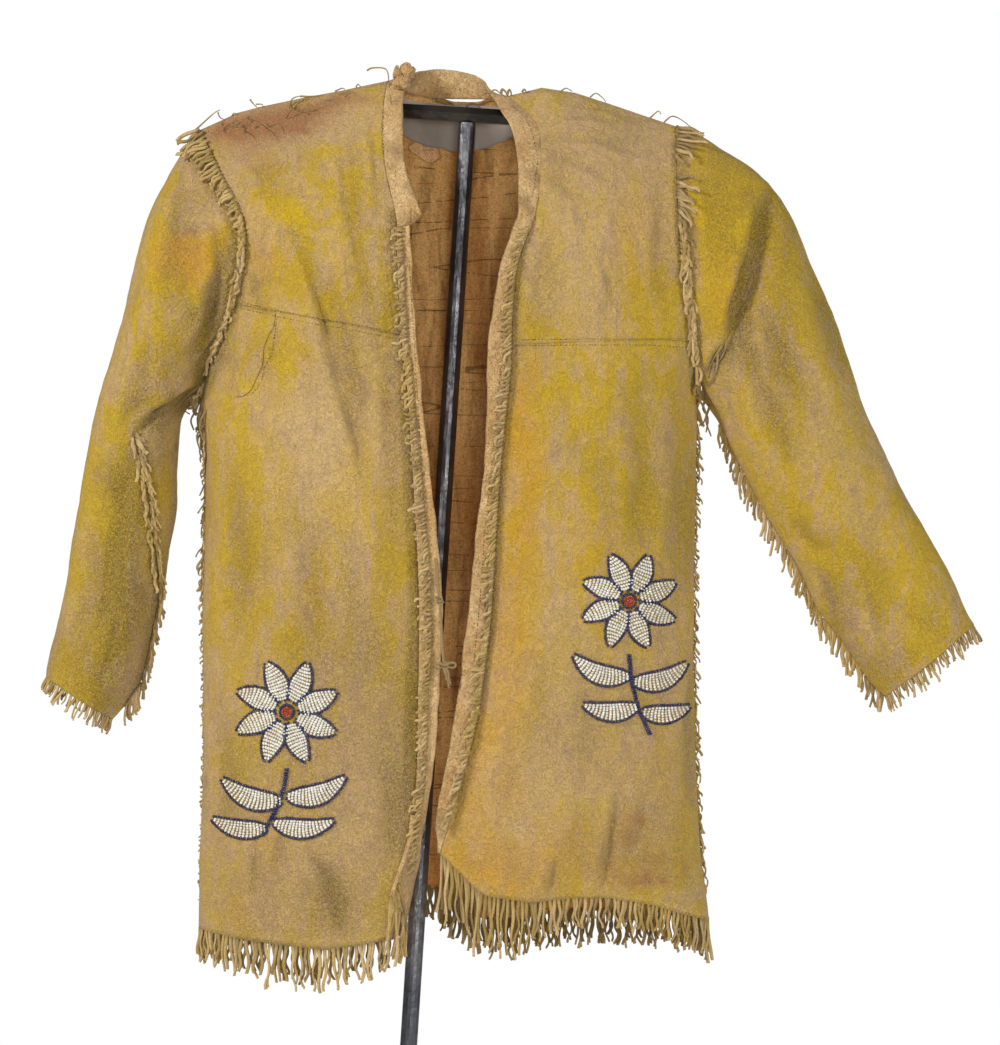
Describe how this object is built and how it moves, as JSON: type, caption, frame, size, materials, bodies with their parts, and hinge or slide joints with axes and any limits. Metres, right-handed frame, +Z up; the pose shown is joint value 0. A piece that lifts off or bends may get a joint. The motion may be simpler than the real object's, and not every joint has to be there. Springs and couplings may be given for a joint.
{
  "type": "fringed hide coat on a t-bar stand",
  "caption": "Open-fronted hide coat with fringed seams, cuffs and hem, hanging on a leaning iron T-bar stand with a round foot.",
  "frame": {"origin": "centre of the stand foot's underside, on the floor", "axes": "+Z up; the coat faces -Y, so the wearer's right side is at -X and the pole leans towards +X"},
  "size_m": [0.992, 0.38, 1.4412],
  "materials": {
    "hide": "smoke-tanned hide with worn yellow pigment, matt and napped",
    "band_hide": "pale tanned hide, rubbed and lightly stained, matt",
    "thong": "cut hide thongs, matt",
    "grey_cloth": "plain close-woven grey cloth, matt",
    "iron": "blackened forged iron, half gloss, with hammer marks"
  },
  "bodies": {
    "root": {"front_right_upper": "hide", "front_right_lower": "hide", "front_left_upper": "hide", "front_left_lower": "hide", "back_upper": "hide", "back_lower": "hide", "sleeve_right": "hide", "sleeve_left": "hide", "pocket": "hide", "front_band_right": "band_hide", "front_band_left": "band_hide", "collar": "band_hide", "hem_fringe_right": "thong", "hem_fringe_left": "thong", "hem_fringe_back": "thong", "cuff_fringe_right": "thong", "cuff_fringe_left": "thong", "armhole_fringe_right": "thong", "armhole_fringe_left": "thong", "sleeve_fringe_right": "thong", "sleeve_fringe_left": "thong", "side_fringe_right": "thong", "side_fringe_left": "thong", "edge_fringe_right": "thong", "edge_fringe_left": "thong", "tie": "thong", "neck_facing": "grey_cloth", "stand_foot": "iron", "stand_socket": "iron", "stand_pole": "iron", "stand_bar": "iron"}
  },
  "joints": []
}
